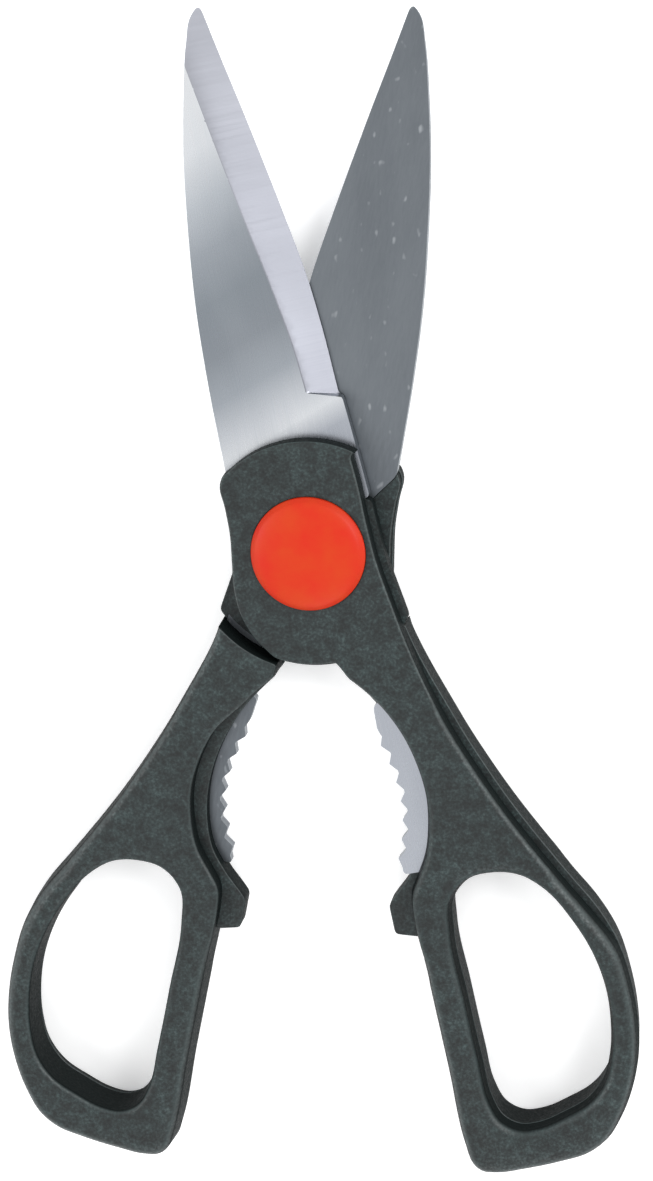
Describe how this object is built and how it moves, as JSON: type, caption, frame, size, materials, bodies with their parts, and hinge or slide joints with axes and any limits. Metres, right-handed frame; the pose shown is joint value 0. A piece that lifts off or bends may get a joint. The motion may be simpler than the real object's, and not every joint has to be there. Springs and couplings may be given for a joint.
{
  "type": "household shears",
  "caption": "Household shears with moulded loop handles, serrated nutcracker jaws between them and a round cap over the pivot.",
  "frame": {"origin": "on the pivot axis, at the plane that the shears lie on: the flat face of the rear cap", "axes": "+Z along the pivot, out of the front face with the domed cap; +Y along the middle line between the two open blades, towards their tips; +X to the right seen from the front"},
  "size_m": [0.1116, 0.2017, 0.0136],
  "materials": {
    "blade_steel": "stamped stainless blank, satin ground faces",
    "handle_plastic": "fine spark-eroded grain, dark green grey",
    "cap_plastic": "smooth satin gloss, orange red",
    "pivot_steel": "turned, zinc plated"
  },
  "bodies": {
    "rear_arm": {"rear_blade": "blade_steel", "rear_handle_cover": "handle_plastic", "rear_handle_grip": "handle_plastic", "rear_cap": "cap_plastic", "pivot_screw": "pivot_steel", "flat_washer": "pivot_steel", "spring_washer": "pivot_steel", "pivot_nut": "pivot_steel"},
    "front_arm": {"front_blade": "blade_steel", "front_handle_cover": "handle_plastic", "front_handle_grip": "handle_plastic", "front_cap": "cap_plastic"}
  },
  "joints": [
    {"name": "pivot", "type": "hinge", "parent": "rear_arm", "child": "front_arm", "pos_m": [0, 0, 0.0057], "axis": [0, 0, 1], "range_deg": [-22.4, 70]}
  ]
}
